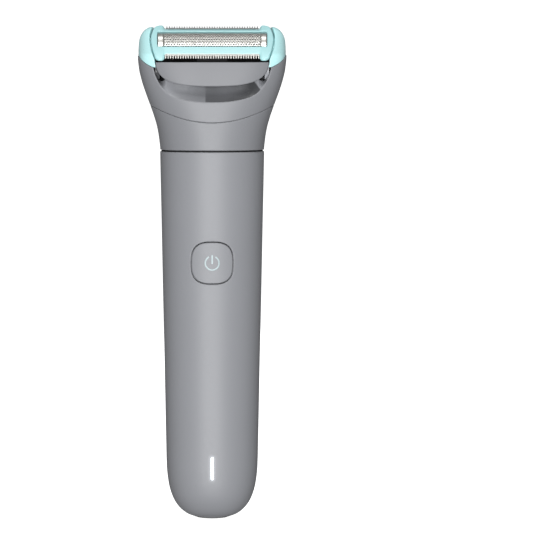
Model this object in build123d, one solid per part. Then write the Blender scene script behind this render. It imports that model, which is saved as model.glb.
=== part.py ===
from build123d import *
import math
import os

# Body groomer: a handle, a pull-off shaver head on its neck, a head that
# tilts in the neck's yoke, and a foil cartridge that lifts out of it.
# Frame: +Z along the handle towards the head, the front faces -Y, X is width.
# Origin: middle of the charging inlet's mouth, at the bottom end.

# ---- driving dimensions (mm) ------------------------------------------------
WALL = 1.8            # handle skin
SPLIT_Y = 1.5         # plane between front and rear skins
SEAM_LO = 126.02      # top edge of the handle skin
SEAM_HI = 126.38      # bottom edge of the neck skin
TILT = 43.0           # lean of the foil face, degrees forward of level
FACE_Y = -9.0         # middle of the foil face
FACE_Z = 163.4
AXIS_H = -7.6         # pivot axis below the foil face
PIN_R = 1.5           # pivot pin radius
RUN = 0.05            # running clearance on the radius
FLOAT = 1.0           # foil float
STROKE = 1.1          # cutter stroke each way = eccentric throw
BTN_Z = 88.25         # button centre
BTN_W = 14.0          # button width
BTN_GAP = 0.35
BTN_TRAVEL = 0.6
LED_Z0, LED_Z1, LED_W = 13.4, 21.4, 1.0
BAT_R, BAT_L = 7.1, 49.0
MOTOR_R, MOTOR_Z0, MOTOR_Z1 = 10.1, 96.5, 118.4
ROD_R = 1.0
BALL_R = 1.2

os.makedirs("parts", exist_ok=True)


# ---- helpers ----------------------------------------------------------------
def box(x0, x1, y0, y1, z0, z1):
    return Pos((x0 + x1) / 2, (y0 + y1) / 2, (z0 + z1) / 2) * Box(
        abs(x1 - x0), abs(y1 - y0), abs(z1 - z0)
    )


def cyl(x, y, z0, z1, r):
    return Pos(x, y, (z0 + z1) / 2) * Cylinder(r, z1 - z0)


def cyl_x(x0, x1, y, z, r):
    return Pos((x0 + x1) / 2, y, z) * Rot(0, 90, 0) * Cylinder(r, abs(x1 - x0))


def cyl_y(y0, y1, x, z, r):
    return Pos(x, (y0 + y1) / 2, z) * Rot(90, 0, 0) * Cylinder(r, abs(y1 - y0))


def bar_on(p, q, r):
    """Round bar from p to q."""
    a, b = Vector(*p), Vector(*q)
    return extrude(Plane(origin=a, z_dir=b - a) * Circle(r), (b - a).length)


def side_slab(pts, x0, x1):
    """A (y, z) outline carried from x0 to x1."""
    f = make_face(Polyline(*[(x0, y, z) for y, z in pts], close=True))
    return extrude(f, amount=x1 - x0, dir=(1, 0, 0))


def front_slab(pts, y0, y1):
    """An (x, z) outline carried from y0 to y1."""
    f = make_face(Polyline(*[(x, y0, z) for x, z in pts], close=True))
    return extrude(f, amount=y1 - y0, dir=(0, 1, 0))


def one(shape):
    s = shape.solids()
    return s[0] if len(s) == 1 else Compound(children=list(s))


def table(rows, z):
    """Smooth look-up in a table of rows (z, a, b, ...)."""
    if z <= rows[0][0]:
        return rows[0][1:]
    for lo, hi in zip(rows, rows[1:]):
        if z <= hi[0]:
            t = (z - lo[0]) / (hi[0] - lo[0])
            return tuple(a + (b - a) * t for a, b in zip(lo[1:], hi[1:]))
    return rows[-1][1:]


# z, half width, front y, rear y, squareness of the section
HANDLE = [
    (0.0, 2.6, -2.5, 2.5, 2.1),
    (0.32, 4.6, -4.4, 4.4, 2.15),
    (0.86, 6.3, -6.0, 6.0, 2.2),
    (1.54, 8.1, -7.7, 7.7, 2.2),
    (2.57, 9.75, -9.3, 9.3, 2.2),
    (4.0, 11.3, -10.75, 10.75, 2.2),
    (6.34, 12.94, -12.3, 12.3, 2.25),
    (9.08, 14.1, -13.35, 13.35, 2.3),
    (12.5, 14.95, -14.1, 14.1, 2.3),
    (18.0, 15.55, -14.6, 14.6, 2.3),
    (28.3, 15.81, -14.8, 14.8, 2.3),
    (53.0, 16.30, -15.2, 15.2, 2.3),
    (77.6, 16.85, -15.65, 15.65, 2.3),
    (102.3, 17.35, -16.05, 16.05, 2.3),
    (SEAM_LO, 17.84, -16.4, 16.4, 2.3),
]
NECK = [
    (SEAM_HI, 17.80, -16.4, 16.4, 2.3),
    (129.7, 18.11, -16.4, 16.3, 2.35),
    (133.8, 18.77, -16.4, 15.9, 2.45),
    (137.9, 19.90, -16.45, 15.2, 2.6),
    (142.1, 21.36, -16.55, 14.2, 2.8),
    (146.2, 22.85, -16.65, 13.0, 3.05),
    (150.3, 24.17, -16.7, 11.6, 3.3),
    (154.4, 25.08, -16.6, 10.2, 3.5),
    (158.5, 25.45, -16.3, 8.9, 3.6),
    (163.0, 25.30, -15.6, 7.6, 3.6),
]


def section(z, off=0.0, rows=HANDLE, n_pts=28):
    a, yf, yr, n = table(rows, z)
    a, b, yc = a - off, (yr - yf) / 2 - off, (yr + yf) / 2
    pts = []
    for i in range(n_pts):
        t = 2 * math.pi * i / n_pts
        c, s = math.cos(t), math.sin(t)
        r = 1.0 / ((abs(c) / a) ** n + (abs(s) / b) ** n) ** (1.0 / n)
        pts.append((r * c, yc + r * s, z))
    return make_face(Spline(*pts, periodic=True)).faces()[0]


def body_loft(zs, off=0.0, rows=HANDLE):
    return Solid.make_loft([section(z, off, rows).outer_wire() for z in zs], True)


HZ = [r[0] for r in HANDLE]
NZ = [r[0] for r in NECK]
handle_full = body_loft(HZ)
handle_inner = body_loft([2.4, 4.0, 6.34, 9.08, 12.5, 18.0, 28.3, 53.0, 77.6, 102.3, SEAM_LO], WALL)
handle_inner = handle_inner + extrude(section(SEAM_LO, WALL), 1.0, dir=(0, 0, 1))
neck_full = body_loft(NZ, 0.0, NECK)
neck_inner = body_loft(NZ, WALL, NECK)
neck_inner = neck_inner + extrude(section(SEAM_HI, WALL, NECK), 1.0, dir=(0, 0, -1))

FACE = Plane(
    origin=(0, FACE_Y, FACE_Z),
    x_dir=(1, 0, 0),
    z_dir=(0, -math.sin(math.radians(TILT)), math.cos(math.radians(TILT))),
)
CT, ST = math.cos(math.radians(TILT)), math.sin(math.radians(TILT))
AXIS_Y, AXIS_Z = FACE_Y - ST * AXIS_H, FACE_Z + CT * AXIS_H


def face_yz(s, h):
    """World (y, z) of a point s up the tilted face and h out of it."""
    return FACE_Y + s * CT - h * ST, FACE_Z + s * ST + h * CT


def tilted(shape):
    return FACE.location * shape


nodes = {}

# ---- handle -----------------------------------------------------------------
skin = handle_full - handle_inner
# the charging well opens in the round end
WELL_OUT = Pos(0, 0, 4.0) * extrude(SlotOverall(12.6, 8.6), 8.0, both=True)
skin = skin - (WELL_OUT & box(-9, 9, -9, 9, -2, 12))
squircle = RectangleRounded(BTN_W + 2 * BTN_GAP, BTN_W + 2 * BTN_GAP, 4.6)
skin = skin - extrude(Plane(origin=(0, -8, BTN_Z), z_dir=(0, -1, 0)) * squircle, 12)
led_slot = extrude(
    Plane(origin=(0, -8, (LED_Z0 + LED_Z1) / 2), x_dir=(0, 0, 1), z_dir=(0, -1, 0))
    * SlotOverall(LED_Z1 - LED_Z0, LED_W),
    12,
)
front = skin & box(-30, 30, -30, SPLIT_Y, -1, 130)
rear = skin & box(-30, 30, SPLIT_Y, 30, -1, 130)
front = front - led_slot
POSTS = [(-11.3, 24.0), (11.3, 24.0), (-11.3, 76.0), (11.3, 76.0)]
for x, z in POSTS:
    post = cyl_y(-14.0, -5.6, x, z, 2.2) & handle_inner
    front = front + post - cyl_y(-8.6, -5.0, x, z, 1.0)
nodes["front_shell"] = front
nodes["rear_shell"] = rear

# charging inlet
liner_out = extrude(SlotOverall(12.6, 8.6), 12)
liner = (liner_out & handle_full) - (
    Pos(0, 0, -1) * extrude(SlotOverall(9.6, 6.0), 8.5)
)
liner = liner & box(-9, 9, -9, 9, -1, 10.2)
pins = [cyl(sx * 3.3, 0, 1.6, 11.4, 0.6) for sx in (-1, 1)]
for p in pins:
    liner = liner - p
nodes["socket_liner"] = liner
nodes["charge_pins"] = pins[0] + pins[1]
seal = Pos(0, 0, 5.0) * (extrude(SlotOverall(15.0, 11.0), 1.4) - extrude(SlotOverall(12.6, 8.6), 1.4))
nodes["socket_seal"] = seal

# inner chassis: spine plate, battery cradle, motor cup
spine = box(-12.6, 12.6, -5.6, -4.2, 20.0, 95.0) + box(-11.4, 11.4, -5.6, -4.2, 13.6, 20.0)
cell_y = 3.9
cradle = box(-8.6, 8.6, -4.2, 2.0, 25.0, 79.0) - cyl(0, cell_y, 27.0, 77.0, BAT_R + 0.15)
cup = cyl(0, 0, 95.0, 112.0, 12.4) - cyl(0, 0, 96.5, 113.0, MOTOR_R + 1.2)
cup = cup - cyl(0, 0, 94.0, 97.0, 5.0) - box(-20, 20, -20, -7.8, 94.0, 98.0)
chassis = spine + cradle + cup
for x, z in POSTS:
    chassis = chassis - cyl_y(-6.0, -4.0, x, z, 1.0)
BOARD_SCREWS = [(-6.6, 30.0), (6.6, 71.0)]
for x, z in BOARD_SCREWS:
    chassis = chassis + cyl_y(-6.1, -5.6, x, z, 2.0) - cyl_y(-6.2, -4.4, x, z, 0.8)
nodes["inner_chassis"] = chassis
nodes["battery"] = cyl(0, cell_y, 27.6, 27.6 + BAT_L - 0.6, BAT_R) + cyl(0, cell_y, 76.0, 76.5, 3.0)
tab = box(-2.0, 2.0, 0.4, cell_y + 2.0, 27.25, 27.6)
tab2 = box(-2.0, 2.0, 0.4, cell_y + 2.0, 76.5, 76.85)
nodes["battery_tabs"] = Compound(children=list((tab + tab2).solids()))

board = box(-9.0, 9.0, -7.5, -6.1, 13.6, 95.0)
for x, z in BOARD_SCREWS:
    board = board - cyl_y(-8, -6, x, z, 0.8)
nodes["circuit_board"] = board
nodes["board_chips"] = Compound(
    children=[
        box(-3.5, 3.5, -8.7, -7.5, 50.0, 57.0),
        box(-2.2, 2.2, -9.3, -7.5, 38.0, 43.0),
        box(4.0, 7.0, -8.3, -7.5, 63.0, 66.0),
    ]
)
nodes["led_chip"] = box(-1.0, 1.0, -8.4, -7.5, 15.6, 18.2)
guide = led_slot & handle_full & box(-3, 3, -20, -8.6, 10, 24)
nodes["light_guide"] = guide

nodes["chassis_screws"] = Compound(
    children=[one(cyl_y(-8.4, -4.2, x, z, 1.0) + cyl_y(-4.2, -2.9, x, z, 1.9)) for x, z in POSTS]
)
nodes["board_screws"] = Compound(
    children=[one(cyl_y(-7.5, -4.5, x, z, 0.8) + cyl_y(-8.4, -7.5, x, z, 1.5)) for x, z in BOARD_SCREWS]
)

# power button and its switch
cap = extrude(
    Plane(origin=(0, -12.0, BTN_Z), z_dir=(0, -1, 0)) * RectangleRounded(BTN_W, BTN_W, 4.3), 8
)
cap = cap & handle_full
# retaining flange behind the skin, clear of its inner face
flange = extrude(Plane(origin=(0, -11.2, BTN_Z), z_dir=(0, -1, 0)) * RectangleRounded(15.4, 15.4, 4.8), 0.8)
cap = cap + flange + cyl_y(-11.3, -10.9, 0, BTN_Z, 2.2)
ring = Circle(2.7) - Circle(2.1)
notch = Polyline((0, 0), (-2.0, 4.2), (2.0, 4.2), close=True)
ring = ring - make_face(notch)
mark = ring + Pos(0, 1.22) * RectangleRounded(0.65, 3.15, 0.3)
mark = extrude(Plane(origin=(0, -12.5, BTN_Z), x_dir=(1, 0, 0), z_dir=(0, -1, 0)) * mark, 6)
mark = (mark & handle_full) - body_loft([60.0, 77.6, 102.3], 0.35)
nodes["power_button"] = cap - mark
nodes["power_symbol"] = Compound(children=list(mark.solids())) if len(mark.solids()) > 1 else mark
gask = extrude(Plane(origin=(0, -9.8, BTN_Z), z_dir=(0, -1, 0)) * RectangleRounded(17.6, 17.6, 3.0), 0.5) - extrude(
    Plane(origin=(0, -9.8, BTN_Z), z_dir=(0, -1, 0)) * RectangleRounded(7.4, 7.4, 2.0), 0.5
)
gask = gask + extrude(
    Plane(origin=(0, -9.8, BTN_Z), z_dir=(0, -1, 0)) * (RectangleRounded(17.6, 17.6, 3.0) - RectangleRounded(16.2, 16.2, 4.9)), 3.1
)
gask = gask & body_loft([60.0, 77.6, 102.3], WALL)
gask = gask & box(-9, 9, -20, -9.7, BTN_Z - 9, MOTOR_Z0 - 0.3)
for x in (-1, 1):
    for z in (-1, 1):
        gask = gask + box(x * 5.4, x * 6.8, -9.9, -7.5, BTN_Z + z * 4.2 - 0.7, BTN_Z + z * 4.2 + 0.7)
nodes["button_gasket"] = gask
switch = box(-3.0, 3.0, -9.6, -7.5, BTN_Z - 3, BTN_Z + 3) - cyl_y(-9.7, -8.2, 0, BTN_Z, 1.75)
nodes["tact_switch"] = switch
nodes["switch_plunger"] = cyl_y(-10.9, -8.9, 0, BTN_Z, 1.6)

# motor
can = cyl(0, 0, MOTOR_Z0 + 1.6, MOTOR_Z1, MOTOR_R) - cyl(0, 0, MOTOR_Z0 + 1.6, MOTOR_Z1 - 1.0, MOTOR_R - 0.8)
can = can - cyl(0, 0, MOTOR_Z1 - 2, MOTOR_Z1 + 1, 1.0 + RUN)
nodes["motor_can"] = can
end = cyl(0, 0, MOTOR_Z0, MOTOR_Z0 + 1.6, MOTOR_R) + cyl(0, 0, 95.2, MOTOR_Z0, 3.2)
end = end - cyl(0, 0, 96.0, MOTOR_Z0 + 2, 1.0 + RUN)
nodes["motor_endcap"] = end
nodes["motor_damper"] = cyl(0, 0, 100.0, 111.0, MOTOR_R + 1.2) - cyl(0, 0, 100.0, 111.0, MOTOR_R)
nodes["motor_shaft"] = cyl(0, 0, 96.2, 121.6, 1.0) + cyl(0, 0, 101.0, 114.0, 7.6)
ecc = cyl(0, 0, 121.0, 123.4, 4.2) - cyl(0, 0, 120.9, 121.6, 1.0)
ecc = ecc + cyl(0, -STROKE, 123.4, 130.4, 0.9)
nodes["eccentric"] = ecc

# two wires from the motor's end cap down behind the spine
leads = []
for sx in (-1, 1):
    route = FilletPolyline(
        (sx * 5.6, 4.6, 93.2),
        (sx * 5.6, 4.6, 88.0),
        (sx * 6.2, -1.2, 84.2),
        (sx * 6.2, -4.2, 84.2),
        radius=1.7,
    )
    leads.append(sweep(Plane(origin=route @ 0, z_dir=route % 0) * Circle(0.55), path=route))
leads = [l + cyl(math.copysign(5.6, sx), 4.6, 93.2, 95.0, 0.8) for l, sx in zip(leads, (-1, 1))]
nodes["motor_leads"] = Compound(children=[one(l) for l in leads])

# bulkhead at the top of the handle, with its seals
capz = (119.0, 120.4)
in_top = body_loft([102.3, SEAM_LO], WALL)
hcap = in_top & box(-30, 30, -30, 30, *capz)
wall_in = body_loft([102.3, SEAM_LO], WALL + 1.3)
hcap = hcap + ((in_top - wall_in) & box(-30, 30, -30, 30, capz[0], 124.4))
hcap = hcap - cyl(0, 0, 118, 121, 2.4)
nodes["handle_cap"] = hcap
nodes["shaft_seal"] = cyl(0, 0, *capz, 2.4) - cyl(0, 0, 118.9, 120.5, 1.0 + RUN)
# the ring sits on the bulkhead's rim and lips out over the skin's top edge
ring_hole = Pos(0, 0, -1.0) * extrude(section(124.4, WALL + 1.3), 3.0, dir=(0, 0, 1))
collar = extrude(section(124.4, WALL + 0.03), SEAM_LO - 124.4, dir=(0, 0, 1))
collar = collar + extrude(section(SEAM_LO, 0.4), 0.2, dir=(0, 0, 1)) - ring_hole
nodes["collar_ring"] = collar

# ---- neck (pulls off upwards) ----------------------------------------------
base = body_loft(NZ[:3], WALL, NECK) & box(-30, 30, -30, 30, 126.6, 128.4)
spig = extrude(section(SEAM_LO, WALL + 1.65) - section(SEAM_LO, WALL + 3.1), -4.6, dir=(0, 0, 1))
spig = Pos(0, 0, 1.1) * spig
base = base + spig - cyl(0, 0, 120, 130, 5.2)
for sx in (-1, 1):
    base = base + box(sx * 11.2, sx * 13.4, -5.0, 5.0, 128.4, 139.0)
rods = []
for y in (-2.7, 2.7):
    rods.append(cyl_x(-13.4, 13.4, y, 135.8, ROD_R))
    base = base - rods[-1]
nodes["neck_base"] = base
nodes["guide_rods"] = Compound(children=rods)

# curved parting line between the neck ring and the neck shell
ARC = [(-30, 146.6), (-24.5, 143.5), (-19.4, 140.95), (-15.0, 139.0), (-10.6, 137.5), (-6.0, 136.45), (0, 136.0)]
ARC = ARC + [(-x, z) for x, z in reversed(ARC[:-1])]


def under_arc(lift):
    top = Spline(*[(x, -30, z + lift) for x, z in ARC])
    side = Polyline((30, -30, ARC[-1][1] + lift), (30, -30, 120), (-30, -30, 120), (-30, -30, ARC[0][1] + lift))
    return extrude(make_face([top, side]), amount=60, dir=(0, 1, 0))


neck_skin = neck_full - neck_inner
nodes["neck_ring"] = neck_skin & under_arc(0)

# the opening under and round the tilting head, and the arms each side of it
SCOOP = [(0, 142.9), (7.6, 143.4), (12.3, 144.45), (15.8, 146.4), (18.6, 150.3), (19.9, 153.7), (20.1, 157.0)]
left_half = [(-x, z) for x, z in reversed(SCOOP[1:])]
sc = Spline(*[(x, -30, z) for x, z in left_half + SCOOP])
sc_side = Polyline((20.1, -30, 157.0), (20.1, -30, 175), (-20.1, -30, 175), (-20.1, -30, 157.0))
scoop_cut = extrude(make_face([sc, sc_side]), amount=26.5, dir=(0, 1, 0))  # to y = -3.5
# behind, the skin stands up as far as the barrel of the tilting head
BARREL_R = 10.2
barrel_cut = cyl_x(-20.1, 20.1, AXIS_Y, AXIS_Z, BARREL_R + 0.5)
top_cut = box(-20.1, 20.1, -30, 30, 160.6, 180)
# the skin is thicker at the scoop, and its face slopes in under the bib
slope_block = neck_full & front_slab(
    [(-19.6, 138), (19.6, 138), (19.6, 153.5), (-19.6, 153.5)], -30, -3.0
)
slope_out = side_slab([(-30, 128.9), (-16.8, 142.1), (-11.0, 147.9), (-11.0, 180), (-30, 180)], -21, 21)
slope_in = side_slab([(-17.0, 138.0), (-8.4, 146.6), (-8.4, 149.6), (-11.0, 147.9), (-11.0, 146.9), (-18.2, 139.7), (-19.0, 139.0)], -19.6, 19.6)
ledge = (slope_in & neck_inner)
rear_keep = box(-30, 30, -3.5, 30, 120, 175)
ns = neck_skin - under_arc(0.12)
ns = ns - scoop_cut
ns = ns - barrel_cut - top_cut
# the pods' grey lower edge
EDGE = [(-30, 162.8), (-25.6, 159.4), (-25.1, 158.6), (-24.0, 157.3), (-22.5, 156.1), (-20.5, 155.1), (-19.0, 154.9)]


def over_edge(lift, sx):
    pts = [(sx * -x if sx > 0 else x, z + lift) for x, z in EDGE]
    low = Spline(*[(x, -30, z) for x, z in pts])
    e = sx * 30
    i = sx * 19.0
    rest = Polyline((i, -30, EDGE[-1][1] + lift), (i, -30, 180), (e, -30, 180), (e, -30, EDGE[0][1] + lift))
    return extrude(make_face([low, rest]), amount=60, dir=(0, 1, 0))


lip = cyl_x(-20.1, 20.1, AXIS_Y, AXIS_Z, BARREL_R + 2.0) - cyl_x(-20.1, 20.1, AXIS_Y, AXIS_Z, BARREL_R + 0.5)
lip = lip + (neck_inner & box(-20.1, 20.1, 3.0, 20, 159.2, 160.6) - cyl_x(-20.1, 20.1, AXIS_Y, AXIS_Z, BARREL_R + 0.5))
lip = lip & neck_inner & box(-20.1, 20.1, 3.0, 30, 152.0, 160.6)
ns = ns + lip
ns = ns - over_edge(0, -1) - over_edge(0, 1)
nodes["neck_shell"] = ns

# yoke inside the neck, and the mint pods on its arms
yoke = front_slab(
    [
        (-21.7, 161.6), (-21.7, 148.6), (-18.2, 140.6), (18.2, 140.6), (21.7, 148.6), (21.7, 161.6),
        (20.1, 161.6), (20.1, 149.2), (17.0, 142.2), (-17.0, 142.2), (-20.1, 149.2), (-20.1, 161.6),
    ],
    -7.6,
    0.6,
)
yoke = yoke & (neck_inner + box(-30, 30, -9, 3, 160, 163))
for sx in (-1, 1):
    yoke = yoke + box(sx * 11.2, sx * 13.4, -4.0, 0.6, 139.0, 140.6)
yoke = yoke - cyl(0, -0.9, 139, 144, 4.6)
pivot_pins = []
for sx in (-1, 1):
    pin = cyl_x(sx * 15.9, sx * 23.4, AXIS_Y, AXIS_Z, PIN_R)
    pivot_pins.append(pin)
    yoke = yoke - pin
nodes["yoke_frame"] = yoke
nodes["pivot_pins"] = Compound(children=pivot_pins)

POD_FRONT = [
    (20.4, 154.0), (25.2, 154.0), (25.42, 157.0), (25.45, 160.6), (25.34, 162.6), (24.95, 164.7),
    (24.47, 165.7), (23.76, 166.7), (22.73, 167.8), (21.6, 168.5), (20.4, 168.6),
]
b0 = face_yz(-9.0, -1.6)
b1 = face_yz(-8.2, -0.2)
b2 = face_yz(7.0, -0.1)
b3 = face_yz(8.2, -0.9)
POD_SIDE = [(-16.4, 152.0), (-16.2, 155.4), b0, b1, b2, b3, (1.6, 166.6), (5.2, 162.6), (7.4, 158.6), (8.6, 154.5), (9.2, 152.0)]
for name, sx in (("left_pod", -1), ("right_pod", 1)):
    pod = front_slab([(sx * x, z) for x, z in POD_FRONT], -30, 30) & side_slab(POD_SIDE, -30, 30)
    pod = pod & (over_edge(0.0, sx))
    pod = pod - yoke - cyl_x(sx * 19, sx * 23.4, AXIS_Y, AXIS_Z, PIN_R)
    pod = pod - cyl_x(sx * 19.0, sx * 20.9, AXIS_Y, AXIS_Z, 3.4)
    nodes[name] = pod.solids().sort_by(SortBy.VOLUME)[-1]

# sloping floor of the scoop, a strip inside the skin under the bib
nodes["neck_shell"] = nodes["neck_shell"] + (ledge - yoke - under_arc(0.12))

# torsion coils on the pivot pins, between yoke and bearing
coils = []
for sx in (-1, 1):
    coils.append(cyl_x(sx * 19.56, sx * 19.94, AXIS_Y, AXIS_Z, 2.7) - cyl_x(sx * 19.5, sx * 20.0, AXIS_Y, AXIS_Z, PIN_R + 0.1))
nodes["pivot_springs"] = Compound(children=[one(c) for c in coils])

# drive: window round the eccentric pin, carriage on two rods, stem and ball
win_x, win_y = 0.9 + STROKE + STROKE + 0.15, 0.9 + STROKE + 0.35
car = box(-5.2, 5.2, -4.2, 4.2, 129.2, 132.2) - box(-win_x, win_x, -win_y, win_y, 129, 131.4)
car = car + box(-7.5, 7.5, -4.4, 4.4, 132.2, 138.4)
for y in (-2.7, 2.7):
    car = car - cyl_x(-8, 8, y, 135.8, ROD_R + RUN)
STEM0 = (0, 0, 136.0)
BALL = (0, AXIS_Y, AXIS_Z)
sv = Vector(*BALL) - Vector(*STEM0)
su = sv.normalized()


def along(d):
    p = Vector(*BALL) - su * d
    return (p.X, p.Y, p.Z)


stem = bar_on(STEM0, along(5.5), 1.5) + bar_on(along(5.6), along(0.4), 0.8) + Pos(*BALL) * Sphere(BALL_R)
car = car - bar_on(STEM0, along(5.5), 1.5)
nodes["drive_carriage"] = car
nodes["drive_stem"] = stem & box(-3, 3, -12, 6, 130, 170)
# rubber diaphragm in the yoke's opening
p = Vector(*STEM0) + su * (5.6 / su.Z)
nodes["drive_seal"] = (cyl(0, -0.9, 140.6, 142.2, 4.6) - cyl(0, p.Y, 140, 143, 3.1))

# ---- tilting head ----------------------------------------------------------
# barrel-backed housing: two end walls, a back, a seat for the cartridge
END_X = 19.4
wedge = side_slab(
    [(AXIS_Y, AXIS_Z), (AXIS_Y + 20 * math.cos(math.radians(52)), AXIS_Z + 20 * math.sin(math.radians(52))),
     (AXIS_Y + 30, AXIS_Z), (AXIS_Y + 20 * math.cos(math.radians(-50)), AXIS_Z + 20 * math.sin(math.radians(-50)))],
    -END_X, END_X,
)
barrel = cyl_x(-END_X, END_X, AXIS_Y, AXIS_Z, BARREL_R)
back_strip = (barrel - cyl_x(-END_X, END_X, AXIS_Y, AXIS_Z, BARREL_R - 1.5)) & wedge
w0 = face_yz(-7.6, -2.0)
w1 = face_yz(7.8, -2.0)
end_prof = [w0, w1, (20.0, 158.0), (1.0, 148.5), (-6.0, 149.2), (-11.4, 151.0), (-12.6, 153.2)]
ends = side_slab(end_prof, 18.0, END_X) + side_slab(end_prof, -END_X, -18.0)
ends = ends & (barrel + box(-30, 30, -30, AXIS_Y, 140, 175))
seat = tilted(box(-18.0, 18.0, -6.9, 9.4, -6.5, -5.6) - box(-5.4, 5.4, -3.4, 4.2, -7, -5)) & (barrel + box(-30, 30, -30, AXIS_Y, 140, 175))
housing = ends + back_strip + seat
for sx in (-1, 1):
    housing = housing + cyl_x(sx * 15.9, sx * 18.0, AXIS_Y, AXIS_Z, 2.05)
bore = cyl_x(-30, 30, AXIS_Y, AXIS_Z, PIN_R + RUN)
housing = housing - bore
# nothing of the back stands above the frame's underside
housing = housing - tilted(box(-25, 25, -20, 20, -1.45, 20))
nodes["head_housing"] = housing

# bib: front panel, set in from the neck's skin
bib_o, bib_i = body_loft([r for r in NZ if r > 141], 1.1, NECK), body_loft([r for r in NZ if r > 141], 2.5, NECK)
BIB = [(0, 148.45), (9.0, 148.85), (13.1, 149.65), (16.1, 150.5), (18.3, 152.5), (19.2, 154.6)]
bl = [(-x, z) for x, z in reversed(BIB[1:])]
bs = Spline(*[(x, -30, z) for x, z in bl + BIB])
bt = Polyline((19.2, -30, 154.6), (19.3, -30, 156.75), (-19.3, -30, 156.75), (-19.2, -30, 154.6))
bib_win = extrude(make_face([bs, bt]), amount=22, dir=(0, 1, 0))
bib = (bib_o - bib_i) & bib_win
# webs that tie the panel to the housing's seat
webs = [side_slab([(-14.9, 150.6), (-14.9, 155.0), (-12.0, 155.0), (-9.4, 152.6), (-9.4, 151.0)], x, x + 1.4) for x in (-13.4, 12.0)]
nodes["head_housing"] = nodes["head_housing"] + (
    (webs[0] + webs[1]) & bib_i
)
seat_front = tilted(box(-18.0, 18.0, -8.4, -6.9, -6.5, -5.6)) & bib_i
nodes["head_housing"] = (nodes["head_housing"] + seat_front) - bib
nodes["bib_panel"] = bib

# ---- foil cartridge --------------------------------------------------------
F0, FH = 1.2, 3.6         # foil opening: centre and half height on the face
frame = extrude(RectangleRounded(40.0, 17.0, 2.6), 1.5)
frame = Pos(0, 0, -1.2) * frame
frame = frame - box(-16.2, 16.2, -12, -5.7, -3, 3) - box(-16.2, 16.2, 6.9, 12, -3, 3)
frame = frame + (box(-17.6, 17.6, -4.0, 6.4, -4.6, -1.2))
frame = frame - box(-18.7, 18.7, F0 - FH, F0 + FH, -1.9, 3) - box(-16.9, 16.9, F0 - FH, F0 + FH, -5, 3)
frame = frame - box(-6.6, 6.6, -7, 8, -4.7, -1.2) - box(-21, 21, -9, -5.7, -2, -0.55)
nodes["foil_frame"] = tilted(frame)
nodes["cartridge_base"] = tilted(
    box(-17.6, 17.6, -4.0, 6.4, -5.5, -4.6) - box(-4.6, 4.6, -2.4, 4.2, -6, -4)
)


def comb(s_root, s_tip, x_half, pitch, width, h0, h1, tooth):
    d = 1 if s_tip > s_root else -1
    root = s_tip - d * tooth
    lo, hi = min(s_root, root), max(s_root, root)
    out = box(-x_half, x_half, lo, hi, h0, h1)
    n = int((2 * x_half - width) / pitch)
    for i in range(n + 1):
        x = (i - n / 2) * pitch
        a, b = min(root, s_tip), max(root, s_tip)
        out = out + box(x - width / 2, x + width / 2, a, b, h0, h1)
    return out


nodes["front_comb"] = tilted(comb(-5.7, -8.1, 16.2, 0.86, 0.46, -0.2, 0.15, 1.5))
nodes["rear_comb"] = tilted(comb(6.9, 7.95, 16.2, 0.86, 0.46, -0.2, 0.15, 0.75))
nodes["front_blade"] = tilted(comb(-5.9, -7.9, 14.9, 0.86, 0.5, -0.62, -0.27, 1.3))
nodes["rear_blade"] = tilted(comb(7.0, 7.8, 14.9, 0.86, 0.5, -0.62, -0.27, 0.6))
bridge = box(-5.2, 5.2, -7.4, 7.7, -3.9, -3.4) - box(-3.6, 3.6, -2.3, 4.2, -5, -1)
bridge = bridge + box(-5.2, 5.2, -7.4, -5.9, -3.4, -0.62) + box(-5.2, 5.2, 7.0, 7.7, -3.4, -0.62)
nodes["blade_bridge"] = tilted(bridge)

# foil: a thin arch over the cutter
SAG, CHORD, TOP = 2.2, 3.35, 1.6
R_F = (CHORD ** 2 + SAG ** 2) / (2 * SAG)


def arch(x0, x1, r, low):
    c = Pos(0, F0, TOP - R_F) * (Rot(0, 90, 0) * Cylinder(r, 60))
    return c & box(x0, x1, F0 - 6, F0 + 6, low, 4)


nodes["foil"] = tilted(arch(-18.4, 18.4, R_F, -0.6) - arch(-19, 19, R_F - 0.15, -1))
carrier = box(-16.6, 16.6, F0 - 3.3, F0 + 3.3, -2.2, -0.65) - box(-15.0, 15.0, F0 - 3.0, F0 + 3.0, -3, 0)
for sx in (-1, 1):
    a, b = sorted((sx * 16.4, sx * 18.3))
    carrier = carrier + (arch(a, b, R_F - 0.15, -0.6) & box(-30, 30, F0 - 3.1, F0 + 3.1, -0.6, 4))
    a, b = sorted((sx * 15.4, sx * 16.6))
    carrier = carrier + (arch(a, b, R_F - 0.15, -0.65) & box(-30, 30, F0 - 3.0, F0 + 3.0, -0.65, 4))
nodes["foil_carrier"] = tilted(carrier)
nodes["foil_springs"] = Compound(children=[one(tilted(cyl(sx * 15.8, F0, -4.6, -2.2, 0.8))) for sx in (-1, 1)])

# cutter under the foil, and the fork that takes the drive ball
blk = arch(-13.7, 13.7, R_F - 0.35, -0.3) + box(-13.7, 13.7, F0 - 2.4, F0 + 2.4, -1.5, -0.3)
for i in range(19):
    x = (i - 9) * 1.45
    blk = blk - box(x - 0.42, x + 0.42, F0 - 6, F0 + 6, -0.2, 4)
nodes["cutter_block"] = tilted(blk)
cc = box(-13.4, 13.4, F0 - 2.0, F0 + 2.0, -2.0, -1.5)
legs = box(-2.9, -BALL_R - RUN, -1.8, 1.8, -8.8, -1.5) + box(BALL_R + RUN, 2.9, -1.8, 1.8, -8.8, -1.5)
nodes["cutter_carrier"] = tilted(cc + legs)

for name, shape in nodes.items():
    solids = shape.solids()
    if not solids:
        print("EMPTY", name)
        continue
    out = solids[0] if len(solids) == 1 else Compound(children=list(solids))
    out.label = name
    export_step(out, f"parts/{name}.step")
print(len(nodes), "nodes")
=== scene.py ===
import math

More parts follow.
